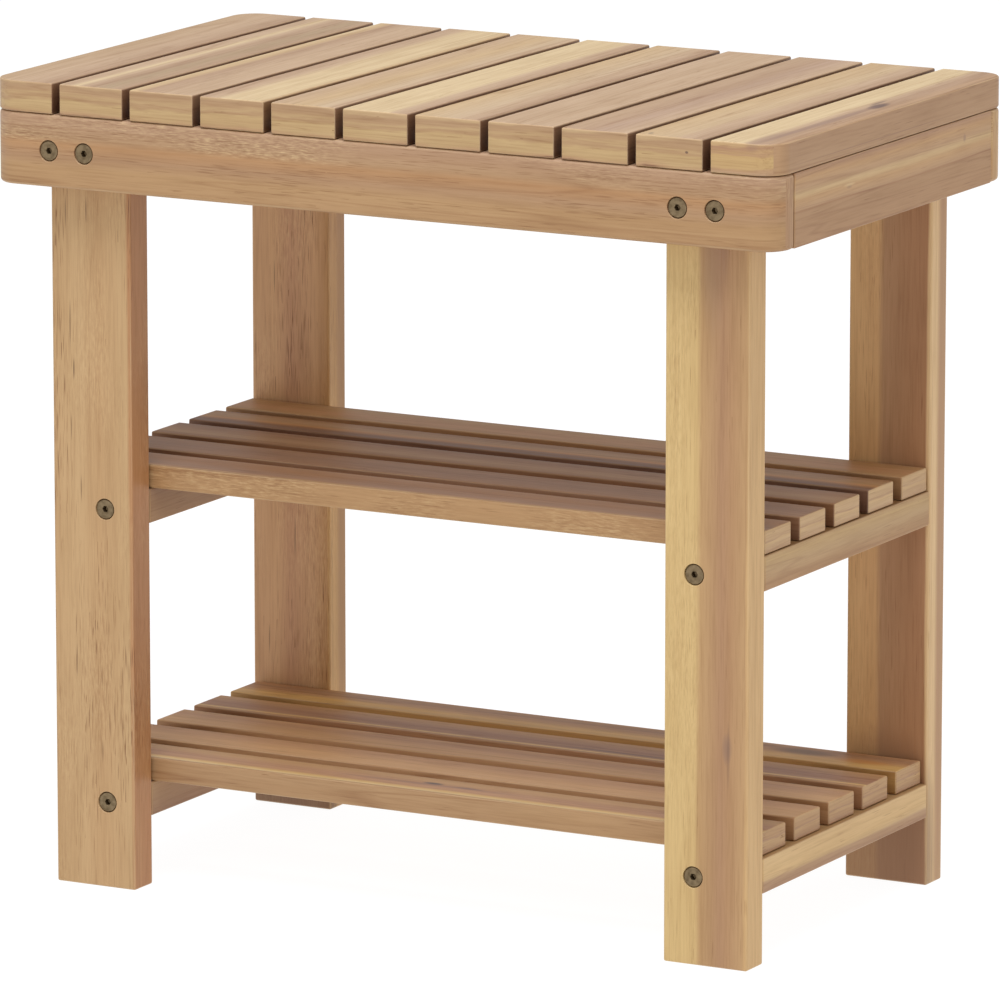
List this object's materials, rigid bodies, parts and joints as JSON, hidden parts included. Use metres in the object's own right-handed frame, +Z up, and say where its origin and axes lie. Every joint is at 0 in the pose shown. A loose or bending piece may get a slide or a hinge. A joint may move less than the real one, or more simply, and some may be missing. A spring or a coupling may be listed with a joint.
{
  "type": "entryway bench",
  "caption": "Slatted wooden entryway bench with open slatted shelves under the seat for shoes, on flat board legs joined by recessed hexagon-socket bolts.",
  "frame": {"origin": "on the floor, under the middle of the seat", "axes": "+X along the seat towards its right end as seen from the front, +Y towards the back, +Z up"},
  "size_m": [0.48, 0.278, 0.45],
  "materials": {
    "seat_wood": "oiled, satin",
    "rail_wood": "oiled, satin",
    "leg_wood": "oiled, satin",
    "support_wood": "oiled, satin",
    "shelf_wood": "oiled, satin",
    "bolt_bronze": "antique bronze plating",
    "nut_steel": "zinc plating"
  },
  "bodies": {
    "root": {"seat_slat_01": "seat_wood", "seat_slat_02": "seat_wood", "seat_slat_03": "seat_wood", "seat_slat_04": "seat_wood", "seat_slat_05": "seat_wood", "seat_slat_06": "seat_wood", "seat_slat_07": "seat_wood", "seat_slat_08": "seat_wood", "seat_slat_09": "seat_wood", "seat_slat_10": "seat_wood", "seat_slat_11": "seat_wood", "left_rail": "rail_wood", "right_rail": "rail_wood", "front_rail": "rail_wood", "back_rail": "rail_wood", "front_left_leg": "leg_wood", "front_right_leg": "leg_wood", "back_left_leg": "leg_wood", "back_right_leg": "leg_wood", "upper_left_support": "support_wood", "upper_right_support": "support_wood", "lower_left_support": "support_wood", "lower_right_support": "support_wood", "upper_shelf_slat_1": "shelf_wood", "upper_shelf_slat_2": "shelf_wood", "upper_shelf_slat_3": "shelf_wood", "upper_shelf_slat_4": "shelf_wood", "upper_shelf_slat_5": "shelf_wood", "lower_shelf_slat_1": "shelf_wood", "lower_shelf_slat_2": "shelf_wood", "lower_shelf_slat_3": "shelf_wood", "lower_shelf_slat_4": "shelf_wood", "lower_shelf_slat_5": "shelf_wood", "rail_bolt_front_left_outer": "bolt_bronze", "rail_bolt_front_left_inner": "bolt_bronze", "shelf_bolt_front_left_upper": "bolt_bronze", "shelf_bolt_front_left_lower": "bolt_bronze", "rail_bolt_front_right_outer": "bolt_bronze", "rail_bolt_front_right_inner": "bolt_bronze", "shelf_bolt_front_right_upper": "bolt_bronze", "shelf_bolt_front_right_lower": "bolt_bronze", "rail_bolt_back_left_outer": "bolt_bronze", "rail_bolt_back_left_inner": "bolt_bronze", "shelf_bolt_back_left_upper": "bolt_bronze", "shelf_bolt_back_left_lower": "bolt_bronze", "rail_bolt_back_right_outer": "bolt_bronze", "rail_bolt_back_right_inner": "bolt_bronze", "shelf_bolt_back_right_upper": "bolt_bronze", "shelf_bolt_back_right_lower": "bolt_bronze", "barrel_nut_front_left_upper": "nut_steel", "barrel_nut_front_left_lower": "nut_steel", "barrel_nut_front_right_upper": "nut_steel", "barrel_nut_front_right_lower": "nut_steel", "barrel_nut_back_left_upper": "nut_steel", "barrel_nut_back_left_lower": "nut_steel", "barrel_nut_back_right_upper": "nut_steel", "barrel_nut_back_right_lower": "nut_steel"}
  },
  "joints": []
}
